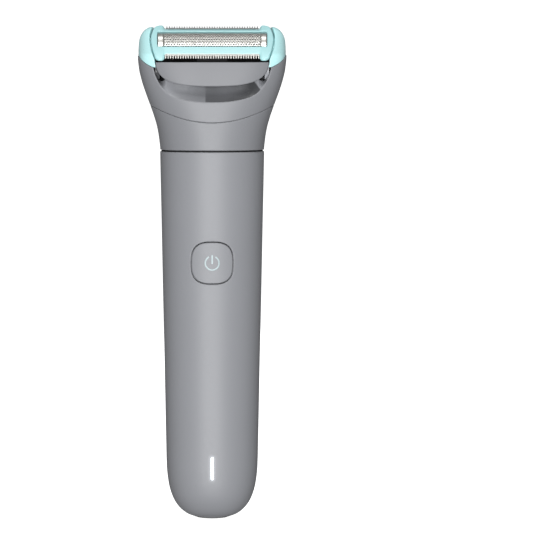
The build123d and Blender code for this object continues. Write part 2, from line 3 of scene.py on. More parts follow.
import bmesh
import bpy
import numpy as np
from mathutils import Matrix, Vector


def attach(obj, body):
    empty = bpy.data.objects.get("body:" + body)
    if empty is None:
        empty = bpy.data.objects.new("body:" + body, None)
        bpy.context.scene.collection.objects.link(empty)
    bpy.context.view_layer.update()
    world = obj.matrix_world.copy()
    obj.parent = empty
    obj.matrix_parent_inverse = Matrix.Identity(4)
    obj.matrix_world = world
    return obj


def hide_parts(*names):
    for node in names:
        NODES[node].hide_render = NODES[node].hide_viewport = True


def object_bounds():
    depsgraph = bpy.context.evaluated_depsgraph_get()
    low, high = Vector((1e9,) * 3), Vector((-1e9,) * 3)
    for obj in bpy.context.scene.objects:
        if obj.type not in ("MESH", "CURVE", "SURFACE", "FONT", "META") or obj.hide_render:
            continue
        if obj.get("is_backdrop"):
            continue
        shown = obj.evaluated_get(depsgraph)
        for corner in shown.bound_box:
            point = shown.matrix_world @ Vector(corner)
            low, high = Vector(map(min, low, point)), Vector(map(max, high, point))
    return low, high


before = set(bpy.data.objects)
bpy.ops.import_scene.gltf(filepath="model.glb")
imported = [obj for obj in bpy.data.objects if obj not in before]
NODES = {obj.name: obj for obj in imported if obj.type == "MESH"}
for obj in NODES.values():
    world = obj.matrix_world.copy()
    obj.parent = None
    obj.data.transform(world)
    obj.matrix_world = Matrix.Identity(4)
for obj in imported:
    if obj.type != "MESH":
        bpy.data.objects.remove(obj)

MM = 0.001
cad_lo, cad_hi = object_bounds()
scene = bpy.context.scene

# ---------------------------------------------------------------- camera
WIDTH_MM = 186.8            # width of the view at the object
DIST = 6.0
ELEV = math.radians(2.0)
cam_data = bpy.data.cameras.new("cam")
cam = bpy.data.objects.new("cam", cam_data)
scene.collection.objects.link(cam)
cam_data.sensor_width = 36.0
cam_data.lens = 36.0 * DIST / (WIDTH_MM * MM)
cam_data.shift_x = 0.1107
cam_data.clip_start, cam_data.clip_end = 0.2, 120.0
aim = Vector((0, 0, 84.3 * MM))
back = Vector((0, -math.cos(ELEV), math.sin(ELEV)))
cam.location = aim + back * DIST
cam.rotation_mode = "QUATERNION"
cam.rotation_quaternion = (-back).to_track_quat("-Z", "Y")
scene.camera = cam

# ---------------------------------------------------------------- tables
HANDLE = [
    (0.0, 2.6, -2.5, 2.5, 2.1), (0.32, 4.6, -4.4, 4.4, 2.15), (0.86, 6.3, -6.0, 6.0, 2.2),
    (1.54, 8.1, -7.7, 7.7, 2.2), (2.57, 9.75, -9.3, 9.3, 2.2), (4.0, 11.3, -10.75, 10.75, 2.2),
    (6.34, 12.94, -12.3, 12.3, 2.25), (9.08, 14.1, -13.35, 13.35, 2.3), (12.5, 14.95, -14.1, 14.1, 2.3),
    (18.0, 15.55, -14.6, 14.6, 2.3), (28.3, 15.81, -14.8, 14.8, 2.3), (53.0, 16.30, -15.2, 15.2, 2.3),
    (77.6, 16.85, -15.65, 15.65, 2.3), (102.3, 17.35, -16.05, 16.05, 2.3), (126.02, 17.84, -16.4, 16.4, 2.3),
    (130.0, 17.9, -16.45, 16.45, 2.3),
]
NECK = [
    (122.0, 17.78, -16.4, 16.4, 2.3), (126.38, 17.80, -16.4, 16.4, 2.3), (129.7, 18.11, -16.4, 16.3, 2.35),
    (133.8, 18.77, -16.4, 15.9, 2.45), (137.9, 19.90, -16.45, 15.2, 2.6), (142.1, 21.36, -16.55, 14.2, 2.8),
    (146.2, 22.85, -16.65, 13.0, 3.05), (150.3, 24.17, -16.7, 11.6, 3.3), (154.4, 25.08, -16.6, 10.2, 3.5),
    (158.5, 25.45, -16.3, 8.9, 3.6), (163.0, 25.30, -15.6, 7.6, 3.6), (172.0, 25.2, -15.4, 7.4, 3.6),
]
SEAM_LO, SEAM_HI = 125.92, 126.48
TILT = math.radians(43.0)
FACE_Y, FACE_Z, AXIS_H = -9.0, 163.4, -7.6
CT, ST = math.cos(TILT), math.sin(TILT)
AXIS_Y, AXIS_Z = FACE_Y - ST * AXIS_H, FACE_Z + CT * AXIS_H
BTN_Z = 88.25
F0, FH = 1.2, 3.6


def pchip(xs, ys, q):
    """Monotone cubic through the points."""
    xs, ys, q = np.asarray(xs, float), np.asarray(ys, float), np.asarray(q, float)
    h = np.diff(xs)
    d = np.diff(ys) / h
    m = np.zeros(len(xs))
    m[0], m[-1] = d[0], d[-1]
    for i in range(1, len(xs) - 1):
        if d[i - 1] * d[i] > 0:
            w1, w2 = 2 * h[i] + h[i - 1], h[i] + 2 * h[i - 1]
            m[i] = (w1 + w2) / (w1 / d[i - 1] + w2 / d[i])
    k = np.clip(np.searchsorted(xs, q) - 1, 0, len(xs) - 2)
    t = np.clip((q - xs[k]) / h[k], 0, 1)
    return ((1 + 2 * t) * (1 - t) ** 2 * ys[k] + t * (1 - t) ** 2 * h[k] * m[k]
            + t * t * (3 - 2 * t) * ys[k + 1] + t * t * (t - 1) * h[k] * m[k + 1])


class Loft:
    def __init__(self, rows, root=False):
        r = np.array(rows, float)
        self.root = root
        f = (lambda z: np.sqrt(np.clip(z, 0, None))) if root else (lambda z: z)
        self.f = f
        self.t = np.linspace(f(r[0, 0]), f(r[-1, 0]), 4000)
        cols = [r[:, 1], (r[:, 3] - r[:, 2]) / 2, (r[:, 3] + r[:, 2]) / 2, r[:, 4]]
        self.c = [pchip(f(r[:, 0]), c, self.t) for c in cols]

    def at(self, z):
        q = self.f(z)
        return [np.interp(q, self.t, c) for c in self.c]

    def __call__(self, x, y, z):
        a, b, yc, n = self.at(z)
        yy = y - yc
        g = ((np.abs(x) / a) ** n + (np.abs(yy) / b) ** n) ** (1.0 / n)
        r = np.sqrt(x * x + yy * yy)
        return np.where(g > 1e-6, r * (1 - 1 / np.maximum(g, 1e-6)), -np.minimum(a, b))

    def front_y(self, x, z):
        a, b, yc, n = self.at(z)
        return yc - b * np.clip(1 - (np.abs(x) / a) ** n, 0, 1) ** (1 / n)


handle = Loft(HANDLE, root=True)
neck = Loft(NECK)


# ---------------------------------------------------------------- solids by distance
def rmax(a, b, r=0.0):
    """Both, with the edge between them rounded."""
    if r <= 0:
        return np.maximum(a, b)
    u, v = np.maximum(a + r, 0), np.maximum(b + r, 0)
    return np.minimum(np.maximum(a, b), -r) + np.sqrt(u * u + v * v)


def rmin(a, b, r=0.0):
    return -rmax(-a, -b, r)


def poly_dist(pts, closed=True):
    """Signed distance to a polygon in a plane, negative inside."""
    p = np.array(pts, float)
    q = np.roll(p, -1, 0)

    def f(x, y):
        best = np.full(x.shape, 1e9)
        inside = np.zeros(x.shape, bool)
        for (x0, y0), (x1, y1) in zip(p, q):
            ex, ey = x1 - x0, y1 - y0
            t = np.clip(((x - x0) * ex + (y - y0) * ey) / (ex * ex + ey * ey), 0, 1)
            best = np.minimum(best, (x - x0 - t * ex) ** 2 + (y - y0 - t * ey) ** 2)
            cross = ((y0 > y) != (y1 > y)) & (x < (x1 - x0) * (y - y0) / (y1 - y0 + 1e-12) + x0)
            inside ^= cross
        return np.where(inside, -1, 1) * np.sqrt(best)

    return f


class Map2:
    """A plane function held on a grid and read back smoothly."""

    def __init__(self, f, x0, x1, y0, y1, h=0.1):
        self.x0, self.y0, self.h = x0, y0, h
        gx, gy = np.arange(x0, x1 + h, h), np.arange(y0, y1 + h, h)
        self.v = f(*np.meshgrid(gx, gy, indexing="ij"))

    def __call__(self, x, y):
        u, v = (x - self.x0) / self.h, (y - self.y0) / self.h
        u = np.clip(u, 0, self.v.shape[0] - 1.001)
        v = np.clip(v, 0, self.v.shape[1] - 1.001)
        i, j = u.astype(int), v.astype(int)
        a, b = u - i, v - j
        g = self.v
        return (g[i, j] * (1 - a) * (1 - b) + g[i + 1, j] * a * (1 - b)
                + g[i, j + 1] * (1 - a) * b + g[i + 1, j + 1] * a * b)


def rounded_rect(x, y, hx, hy, r):
    u, v = np.abs(x) - hx + r, np.abs(y) - hy + r
    return np.sqrt(np.maximum(u, 0) ** 2 + np.maximum(v, 0) ** 2) + np.minimum(np.maximum(u, v), 0) - r


def smoother(pts, n=8):
    """Catmull-Rom through the points."""
    p = np.array(pts, float)
    out = []
    for i in range(len(p) - 1):
        a, b, c, d = p[max(i - 1, 0)], p[i], p[i + 1], p[min(i + 2, len(p) - 1)]
        for t in np.linspace(0, 1, n, endpoint=False):
            out.append(0.5 * ((2 * b) + (c - a) * t + (2 * a - 5 * b + 4 * c - d) * t * t
                              + (3 * b - a - 3 * c + d) * t ** 3))
    out.append(p[-1])
    return np.array(out)


def nets(f, lo, hi, h, steps=4):
    """Surface of f = 0 as quads: a vertex in each crossed cell, then moved onto the surface."""
    ax = [np.arange(lo[k], hi[k] + h, h) for k in range(3)]
    nx, ny, nz = (len(a) for a in ax)
    v = np.empty((nx, ny, nz), np.float32)
    gy, gz = np.meshgrid(ax[1], ax[2], indexing="ij")
    chunk = max(1, int(2e6 / (ny * nz)))
    for i in range(0, nx, chunk):
        xs = ax[0][i:i + chunk]
        X = np.broadcast_to(xs[:, None, None], (len(xs), ny, nz))
        Y = np.broadcast_to(gy[None], (len(xs), ny, nz))
        Z = np.broadcast_to(gz[None], (len(xs), ny, nz))
        v[i:i + chunk] = f(X, Y, Z)
    s = v < 0
    cells = s[:-1, :-1, :-1].astype(np.int8)
    tot = np.zeros(cells.shape, np.int8)
    for dx in (0, 1):
        for dy in (0, 1):
            for dz in (0, 1):
                tot += s[dx:nx - 1 + dx, dy:ny - 1 + dy, dz:nz - 1 + dz]
    act = (tot > 0) & (tot < 8)
    idx = -np.ones(act.shape, np.int64)
    I, J, K = np.nonzero(act)
    idx[I, J, K] = np.arange(len(I))
    acc, cnt = np.zeros((len(I), 3)), np.zeros(len(I))
    corners = [(a, b, c) for a in (0, 1) for b in (0, 1) for c in (0, 1)]
    for a in range(8):
        for b in range(a + 1, 8):
            ca, cb = corners[a], corners[b]
            if sum(abs(ca[k] - cb[k]) for k in range(3)) != 1:
                continue
            va = v[I + ca[0], J + ca[1], K + ca[2]].astype(float)
            vb = v[I + cb[0], J + cb[1], K + cb[2]].astype(float)
            m = (va < 0) != (vb < 0)
            t = np.where(m, va / np.where(va - vb == 0, 1, va - vb), 0)
            for k in range(3):
                acc[:, k] += np.where(m, ca[k] + t * (cb[k] - ca[k]), 0)
            cnt += m
    P = np.stack([ax[0][I], ax[1][J], ax[2][K]], 1) + h * acc / cnt[:, None]
    quads = []
    for axis in range(3):
        o1, o2 = [k for k in range(3) if k != axis]
        sl0, sl1 = [slice(None)] * 3, [slice(None)] * 3
        sl0[axis], sl1[axis] = slice(0, -1), slice(1, None)
        a0, a1 = s[tuple(sl0)], s[tuple(sl1)]
        cr = a0 != a1
        e = np.array(np.nonzero(cr)).T
        e = e[(e[:, o1] > 0) & (e[:, o2] > 0) & (e[:, o1] < act.shape[o1]) & (e[:, o2] < act.shape[o2])]
        if not len(e):
            continue
        flip = a0[tuple(e.T)]

        def cell(d1, d2):
            c = e.copy()
            c[:, o1] -= d1
            c[:, o2] -= d2
            return idx[c[:, 0], c[:, 1], c[:, 2]]

        q = np.stack([cell(1, 1), cell(0, 1), cell(0, 0), cell(1, 0)], 1)
        fl = flip if axis != 1 else ~flip
        q[~fl] = q[~fl][:, ::-1]
        quads.append(q[(q >= 0).all(1)])
    Q = np.concatenate(quads)
    eps = h * 0.02
    P0 = P.copy()
    for _ in range(steps):
        val = f(P[:, 0], P[:, 1], P[:, 2])
        g = np.empty_like(P)
        for k in range(3):
            d = np.zeros(3)
            d[k] = eps
            g[:, k] = (f(P[:, 0] + d[0], P[:, 1] + d[1], P[:, 2] + d[2])
                       - f(P[:, 0] - d[0], P[:, 1] - d[1], P[:, 2] - d[2])) / (2 * eps)
        n2 = np.maximum((g * g).sum(1), 0.05)
        step = -(val / n2)[:, None] * g * 0.9
        ln = np.linalg.norm(step, axis=1)
        step *= np.minimum(1, 0.5 * h / np.maximum(ln, 1e-9))[:, None]
        P = P + step
        off = P - P0
        ln = np.linalg.norm(off, axis=1)
        P = P0 + off * np.minimum(1, 0.9 * h / np.maximum(ln, 1e-9))[:, None]
    return P, Q


def to_world(P):
    """Face frame (x, s, h) to the row frame."""
    x, s, h = P[:, 0], P[:, 1], P[:, 2]
    return np.stack([x, FACE_Y + s * CT - h * ST, FACE_Z + s * ST + h * CT], 1)


def face_of(y, z):
    dy, dz = y - FACE_Y, z - FACE_Z
    return dy * CT + dz * ST, -dy * ST + dz * CT


def mesh_obj(name, verts_mm, faces, mat, body=None, smooth=True):
    me = bpy.data.meshes.new(name)
    me.from_pydata((np.asarray(verts_mm, float) * MM).tolist(), [], [list(map(int, q)) for q in faces])
    me.update()
    ob = bpy.data.objects.new(name, me)
    scene.collection.objects.link(ob)
    if smooth:
        me.polygons.foreach_set("use_smooth", [True] * len(me.polygons))
    if mat:
        me.materials.append(mat)
    if body:
        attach(ob, body)
    return ob


def solid(name, f, lo, hi, h, mat, body, nodes=(), local=False):
    P, Q = nets(f, lo, hi, h)
    if local:
        P = to_world(P)
    ob = mesh_obj(name, P, Q, mat, body)
    if nodes:
        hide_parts(*nodes)
    return ob


# ---------------------------------------------------------------- materials
def material(name, color, rough=0.4, metal=0.0, spec=0.5, grain=900.0, bump=0.0, vary=0.03,
             rough_vary=0.06, coat=0.0, coat_rough=0.1, blotch=60.0, brush=None, sss=0.0, emission=None, strength=0.0):
    m = bpy.data.materials.new(name)
    m.use_nodes = True
    nt = m.node_tree
    nt.nodes.clear()
    out = nt.nodes.new("ShaderNodeOutputMaterial")
    b = nt.nodes.new("ShaderNodeBsdfPrincipled")
    nt.links.new(b.outputs[0], out.inputs[0])
    b.inputs["Metallic"].default_value = metal
    b.inputs["Specular IOR Level"].default_value = spec
    b.inputs["Coat Weight"].default_value = coat
    b.inputs["Coat Roughness"].default_value = coat_rough
    if sss:
        b.inputs["Subsurface Weight"].default_value = sss
        b.inputs["Subsurface Radius"].default_value = (0.6, 1.0, 1.0)
        b.inputs["Subsurface Scale"].default_value = 0.0006
    tc = nt.nodes.new("ShaderNodeTexCoord")
    mp = nt.nodes.new("ShaderNodeMapping")
    nt.links.new(tc.outputs["Object"], mp.inputs["Vector"])
    if brush:
        mp.inputs["Scale"].default_value = brush
    n1 = nt.nodes.new("ShaderNodeTexNoise")
    n1.inputs["Scale"].default_value = blotch
    n1.inputs["Detail"].default_value = 4.0
    nt.links.new(mp.outputs[0], n1.inputs["Vector"])
    n2 = nt.nodes.new("ShaderNodeTexNoise")
    n2.inputs["Scale"].default_value = grain
    n2.inputs["Detail"].default_value = 3.0
    nt.links.new(mp.outputs[0], n2.inputs["Vector"])
    ramp = nt.nodes.new("ShaderNodeValToRGB")
    c = np.array(color[:3], float)
    lo = np.clip(c * (1 - vary), 0, 1)
    hi = np.clip(c * (1 + vary), 0, 1)
    ramp.color_ramp.elements[0].position = 0.3
    ramp.color_ramp.elements[1].position = 0.7
    ramp.color_ramp.elements[0].color = (*lo, 1)
    ramp.color_ramp.elements[1].color = (*hi, 1)
    nt.links.new(n1.outputs["Fac"], ramp.inputs["Fac"])
    nt.links.new(ramp.outputs["Color"], b.inputs["Base Color"])
    mr = nt.nodes.new("ShaderNodeMapRange")
    mr.inputs["From Min"].default_value = 0.3
    mr.inputs["From Max"].default_value = 0.7
    mr.inputs["To Min"].default_value = max(0.02, rough - rough_vary)
    mr.inputs["To Max"].default_value = min(1.0, rough + rough_vary)
    nt.links.new(n2.outputs["Fac"], mr.inputs["Value"])
    nt.links.new(mr.outputs[0], b.inputs["Roughness"])
    if bump:
        bp = nt.nodes.new("ShaderNodeBump")
        bp.inputs["Strength"].default_value = 0.6
        bp.inputs["Distance"].default_value = bump * MM
        nt.links.new(n2.outputs["Fac"], bp.inputs["Height"])
        nt.links.new(bp.outputs[0], b.inputs["Normal"])
    if emission:
        b.inputs["Emission Color"].default_value = (*emission, 1)
        b.inputs["Emission Strength"].default_value = strength
    return m


GREY = (0.246, 0.252, 0.270)
mat_grey = material("satin_grey", GREY, rough=0.465, spec=0.40, grain=2600, bump=0.006, vary=0.012, rough_vary=0.04, blotch=45)
# the bib and neck copies are the same satin grey darkened by 14 % and 7 %: painted shade
mat_bib_painted_shade = material("satin_grey_bib_painted_shade", tuple(v * 0.86 for v in GREY), rough=0.47, spec=0.36, grain=2600, bump=0.006, vary=0.012, rough_vary=0.04, blotch=45)
mat_neck_painted_shade = material("satin_grey_neck_painted_shade", tuple(v * 0.93 for v in GREY), rough=0.45, spec=0.39, grain=2600, bump=0.006, vary=0.012, rough_vary=0.04, blotch=45)
mat_button = material("button_grey", tuple(v * 0.985 for v in GREY), rough=0.465, spec=0.40, grain=3000, bump=0.005, vary=0.01, rough_vary=0.04)
mat_mint = material("mint_plastic", (0.535, 0.885, 0.90), rough=0.30, spec=0.5, grain=1800, bump=0.003, vary=0.012, rough_vary=0.04, coat=0.25, coat_rough=0.18, blotch=80)
mat_mint_frame = material("mint_plastic_frame", (0.44, 0.755, 0.772), rough=0.32, spec=0.45, grain=1800, bump=0.003, vary=0.012, rough_vary=0.04, coat=0.15, coat_rough=0.2, blotch=80)
mat_black = material("black_nylon", (0.012, 0.012, 0.013), rough=0.5, grain=2200, bump=0.01, vary=0.2, rough_vary=0.1)
mat_rubber = material("rubber", (0.014, 0.014, 0.015), rough=0.72, grain=3200, bump=0.015, vary=0.2, rough_vary=0.1)
mat_nylon = material("natural_nylon", (0.62, 0.61, 0.57), rough=0.45, grain=1500, bump=0.008, vary=0.03)
mat_rear = material("rear_comb_steel", (0.30, 0.31, 0.31), rough=0.40, metal=1.0, grain=900, bump=0.001, vary=0.04, rough_vary=0.06)
# steel darkened far below real steel so the gaps between the comb teeth read as shade: painted shade
mat_blade_painted_shade = material("blade_steel_painted_shade", (0.10, 0.10, 0.10), rough=0.42, metal=1.0, grain=900, bump=0.001, vary=0.06, rough_vary=0.06)
mat_steel = material("ground_steel", (0.42, 0.42, 0.42), rough=0.32, metal=1.0, grain=700, bump=0.002, vary=0.04, rough_vary=0.08, brush=(1, 14, 14))
mat_teeth = material("trimmer_steel", (0.74, 0.735, 0.70), rough=0.36, metal=1.0, grain=900, bump=0.001, vary=0.04, rough_vary=0.06)
# steel darkened far below real steel so the foil holes read as shade: painted shade
mat_cutter_painted_shade = material("cutter_steel_painted_shade", (0.10, 0.10, 0.105), rough=0.35, metal=1.0, grain=900, bump=0.001, vary=0.1, rough_vary=0.06)
mat_foil = material("foil_nickel", (0.72, 0.71, 0.67), rough=0.40, metal=1.0, grain=1500, bump=0.001, vary=0.03, rough_vary=0.06)
mat_brass = material("brass", (0.62, 0.44, 0.17), rough=0.28, metal=1.0, grain=800, vary=0.05)
mat_nickel = material("contact_nickel", (0.72, 0.70, 0.64), rough=0.2, metal=1.0, grain=900, vary=0.03)
mat_pcb = material("solder_mask", (0.012, 0.11, 0.045), rough=0.3, grain=1200, bump=0.004, vary=0.18, blotch=500, coat=0.4)
mat_cell = material("shrink_sleeve", (0.02, 0.09, 0.25), rough=0.25, grain=1000, vary=0.05, coat=0.5)
mat_wire = material("wire_red", (0.33, 0.02, 0.02), rough=0.4, grain=2000, vary=0.06)
mat_symbol = material("symbol_mint", (0.345, 0.435, 0.455), rough=0.35, spec=0.5, grain=2500, vary=0.02)
mat_light = material("light_bar", (0.92, 0.95, 1.0), rough=0.3, grain=2000, vary=0.01, emission=(0.93, 0.97, 1.0), strength=1.5)
mat_led = material("led_chip", (0.85, 0.85, 0.7), rough=0.3, grain=2000, vary=0.05)
mat_dark_grip = material("head_inner", (0.016, 0.017, 0.018), rough=0.42, grain=2400, bump=0.008, vary=0.15)

slot_mat = {
    "socket_liner": mat_black, "charge_pins": mat_nickel, "socket_seal": mat_rubber, "inner_chassis": mat_nylon,
    "battery": mat_cell, "battery_tabs": mat_nickel, "circuit_board": mat_pcb, "board_chips": mat_black,
    "led_chip": mat_led, "tact_switch": mat_black, "switch_plunger": mat_nylon, "button_gasket": mat_rubber,
    "chassis_screws": mat_steel, "board_screws": mat_steel, "motor_can": mat_steel, "motor_endcap": mat_black,
    "motor_damper": mat_rubber, "motor_leads": mat_wire, "motor_shaft": mat_steel, "eccentric": mat_brass,
    "handle_cap": mat_black, "shaft_seal": mat_rubber, "collar_ring": mat_rubber, "neck_base": mat_black,
    "yoke_frame": mat_black, "pivot_pins": mat_steel, "pivot_springs": mat_steel, "guide_rods": mat_steel,
    "drive_seal": mat_rubber, "drive_carriage": mat_nylon, "drive_stem": mat_steel, "head_housing": mat_dark_grip,
    "cartridge_base": mat_black, "blade_bridge": mat_black, "foil_carrier": mat_black, "foil_springs": mat_steel,
    "cutter_block": mat_cutter_painted_shade, "cutter_carrier": mat_black,
}
for n, m in slot_mat.items():
    ob = NODES[n]
    if not ob.material_slots:
        ob.data.materials.append(m)
    for sl in ob.material_slots:
        sl.material = m

# the front shell's material: a painted glow, emission in the skin round the light bar standing in for its light
# bleeding into the plastic
def add_painted_glow(mat):
    nt = mat.node_tree
    b = next(n for n in nt.nodes if n.type == "BSDF_PRINCIPLED")
    tc = nt.nodes.new("ShaderNodeTexCoord")
    sep = nt.nodes.new("ShaderNodeSeparateXYZ")
    nt.links.new(tc.outputs["Object"], sep.inputs[0])

    def math_node(op, a, bb=None, clamp=False):
        m = nt.nodes.new("ShaderNodeMath")
        m.operation = op
        m.use_clamp = clamp
        for i, v in enumerate((a, bb)):
            if v is None:
                continue
            if isinstance(v, (int, float)):
                m.inputs[i].default_value = v
            else:
                nt.links.new(v, m.inputs[i])
        return m.outputs[0]

    dz = math_node("SUBTRACT", sep.outputs["Z"], 0.01765)
    dz = math_node("ABSOLUTE", dz)
    dz = math_node("SUBTRACT", dz, 0.0034)
    dz = math_node("MAXIMUM", dz, 0.0)
    dz = math_node("MULTIPLY", dz, dz)
    dx = math_node("MULTIPLY", sep.outputs["X"], sep.outputs["X"])
    d = math_node("ADD", dx, dz)
    d = math_node("DIVIDE", d, -(0.00085 ** 2))
    e = math_node("POWER", 2.718, d)
    front = math_node("LESS_THAN", sep.outputs["Y"], -0.005)
    e = math_node("MULTIPLY", e, front)
    e = math_node("MULTIPLY", e, 0.42)
    nt.links.new(e, b.inputs["Emission Strength"])
    b.inputs["Emission Color"].default_value = (0.9, 0.95, 1.0, 1)


# satin grey with the painted glow round the light bar, for the front shell
mat_front_painted_glow = mat_grey.copy()
mat_front_painted_glow.name = "satin_grey_front_painted_glow"
add_painted_glow(mat_front_painted_glow)


def painted_light_material(name, base, coat, build, rough=0.3):
    """A satin plastic with light and shade painted into its tone by the place on the piece."""
    m = material(name, base, rough=rough, spec=0.42, grain=2600, bump=0.004, vary=0.012, rough_vary=0.03, blotch=45, coat=coat, coat_rough=0.12)
    nt = m.node_tree
    b = next(n for n in nt.nodes if n.type == "BSDF_PRINCIPLED")
    old = b.inputs["Base Color"].links[0].from_socket
    tc = nt.nodes.new("ShaderNodeTexCoord")
    sep = nt.nodes.new("ShaderNodeSeparateXYZ")
    nt.links.new(tc.outputs["Object"], sep.inputs[0])

    def mapr(v, a, bb, lo, hi):
        r = nt.nodes.new("ShaderNodeMapRange")
        r.interpolation_type = "SMOOTHSTEP"
        for k, q in (("From Min", a), ("From Max", bb), ("To Min", lo), ("To Max", hi)):
            r.inputs[k].default_value = q
        nt.links.new(v, r.inputs["Value"])
        return r.outputs[0]

    def op(kind, a, bb):
        q = nt.nodes.new("ShaderNodeMath")
        q.operation = kind
        for i, v in enumerate((a, bb)):
            if isinstance(v, (int, float)):
                q.inputs[i].default_value = v
            else:
                nt.links.new(v, q.inputs[i])
        return q.outputs[0]

    fac = build(sep.outputs, mapr, op)
    mul = nt.nodes.new("ShaderNodeVectorMath")
    mul.operation = "SCALE"
    nt.links.new(old, mul.inputs[0])
    nt.links.new(fac, mul.inputs["Scale"])
    nt.links.new(mul.outputs[0], b.inputs["Base Color"])
    return m


def scoop_painted_shade(o, mapr, op):
    # painted reflection and shade: light left of x = -2.6 mm, dark from there to a slanting line near the right end,
    # lit again past that line; darker towards the left tip, and a painted rise in tone from the bottom edge up towards
    # the bib
    step = mapr(o["X"], -0.0026, -0.0020, 1.03, 0.68)
    fall = mapr(o["X"], 0.002, 0.0145, 1.0, 0.28)
    slant = op("SUBTRACT", o["X"], op("MULTIPLY", op("SUBTRACT", 0.1475, o["Z"]), 0.75))
    end = mapr(slant, 0.0161, 0.0167, 0.0, 1.0)
    dark = op("MULTIPLY", step, fall)
    left = mapr(o["X"], -0.0185, -0.0150, 0.45, 1.0)
    dark = op("MULTIPLY", dark, left)
    low_l = mapr(o["Z"], 0.1432, 0.1482, 0.84, 1.30)
    low_r = mapr(o["Z"], 0.1432, 0.1475, 0.55, 1.5)
    right = mapr(o["X"], -0.0024, -0.0022, 0.0, 1.0)
    low = op("ADD", op("MULTIPLY", low_r, right), op("MULTIPLY", low_l, op("SUBTRACT", 1.0, right)))
    dark = op("MULTIPLY", dark, low)
    return op("ADD", op("MULTIPLY", dark, op("SUBTRACT", 1.0, end)), op("MULTIPLY", end, 1.25))


def housing_painted_shade(o, mapr, op):
    # painted shade: black above z = 155.5 mm for the shadowed gap under the trimmer, dark on the left side and painted
    # light on the right
    top = mapr(o["Z"], 0.1555, 0.1560, 1.0, 0.045)
    side = mapr(o["X"], -0.002, 0.002, 0.28, 1.5)
    return op("MULTIPLY", top, side)


mat_scoop_painted = painted_light_material("scoop_gloss_painted_reflection", GREY, 0.15, scoop_painted_shade)
mat_housing_painted_shade = painted_light_material("housing_grey_painted_shade", GREY, 0.0, housing_painted_shade, rough=0.4)
for sl in NODES["head_housing"].material_slots:
    sl.material = mat_housing_painted_shade

# ---------------------------------------------------------------- handle skins
FINE = 0.26
ARC = [(-30, 146.6), (-24.5, 143.5), (-19.4, 140.95), (-15.0, 139.0), (-10.6, 137.5), (-6.0, 136.45), (0, 136.0)]
ARC = ARC + [(-x, z) for x, z in reversed(ARC[:-1])]
arc_pts = smoother(ARC, 12)


def arc_z(x):
    return np.interp(x, arc_pts[:, 0], arc_pts[:, 1])


def squircle_d(x, z, half):
    """The button's outline: a superellipse."""
    u, v = np.abs(x) / half, np.abs(z - BTN_Z + 0.2) / half
    g = (u ** 2.85 + v ** 2.85) ** (1 / 2.85)
    return (g - 1) * half * 0.93


def stadium(x, y, hx, r):
    """Slot shape along x, hx to its end."""
    u = np.maximum(np.abs(x) - (hx - r), 0)
    return np.sqrt(u * u + y * y) - r


def handle_skin(x, y, z):
    L = handle(x, y, z)
    d = np.maximum(L, -(L + 1.8))
    d = rmax(d, z - SEAM_LO, 0.12)
    d = np.maximum(d, -z)
    # inner floor of the round end
    d = np.where(z < 2.4, np.maximum(L, z - SEAM_LO), d)
    d = np.maximum(d, -z)
    return rmax(d, -stadium(x, y, 6.35, 4.35), 0.12)


def front_f(x, y, z):
    d = np.maximum(handle_skin(x, y, z), y - 1.49)
    hole = np.maximum(squircle_d(x, z, 7.32), y + 8)
    d = rmax(d, -hole, 0.10)
    led = np.maximum(stadium(z - 17.65, x, 3.95, 0.46), y + 8)
    return np.maximum(d, -led)


def rear_f(x, y, z):
    return np.maximum(handle_skin(x, y, z), 1.51 - y)


solid("front_skin", front_f, (-18.4, -17.0, -0.4), (18.4, 2.2, 126.6), FINE, mat_front_painted_glow, "handle", ("front_shell",))
solid("rear_skin", rear_f, (-18.4, 0.9, -0.4), (18.4, 17.0, 126.6), FINE, mat_grey, "handle", ("rear_shell",))


def guide_f(x, y, z):
    L = handle(x, y, z)
    return rmax(np.maximum(stadium(z - 17.65, x, 3.93, 0.44), y + 8.6), L - 0.02, 0.1)


solid("light_bar", guide_f, (-0.9, -15.2, 12.9), (0.9, -8.2, 21.9), 0.12, mat_light, "handle", ("light_guide",))


# power button: cap with a softly rounded rim, retaining flange behind
def cap_f(x, y, z):
    L = handle(x, y, z)
    body = rmax(squircle_d(x, z, 7.0), L, 0.2)
    body = np.maximum(body, y + 11.2)
    flange = np.maximum(squircle_d(x, z, 7.8), np.maximum(y + 11.2, -(y + 12.0)))
    return np.minimum(body, flange)


solid("button_cap", cap_f, (-8.2, -16.4, BTN_Z - 8.2), (8.2, -10.9, BTN_Z + 8.2), 0.2, mat_button, "button", ("power_button",))


def mark_f(x, y, z):
    L = handle(x, y, z)
    zz = z - BTN_Z + 0.2
    r = np.sqrt(x * x + zz * zz)
    ring = np.abs(r - 2.36) - 0.27
    ang = np.abs(np.arctan2(x, zz))
    ring = np.maximum(ring, (math.radians(27) - ang) * np.maximum(r, 0.5))
    bar = rounded_rect(x, zz - 1.22, 0.31, 1.55, 0.28)
    d = np.minimum(ring, bar)
    return rmax(np.maximum(d, -(L + 0.3)), L - 0.035, 0.03)


solid("power_mark", mark_f, (-3.1, -16.3, BTN_Z - 3.1), (3.1, -15.0, BTN_Z + 3.2), 0.09, mat_symbol, "button", ("power_symbol",))

# ---------------------------------------------------------------- neck
def neck_ring_f(x, y, z):
    L = neck(x, y, z)
    d = np.maximum(L, -(L + 1.8))
    d = rmax(d, SEAM_HI - z, 0.12)
    return rmax(d, (z - arc_z(x)) * 0.96, 0.07)


solid("neck_lower", neck_ring_f, (-21.6, -17.2, 125.9), (21.6, 17.0, 143.0), FINE, mat_neck_painted_shade, "neck", ("neck_ring",))

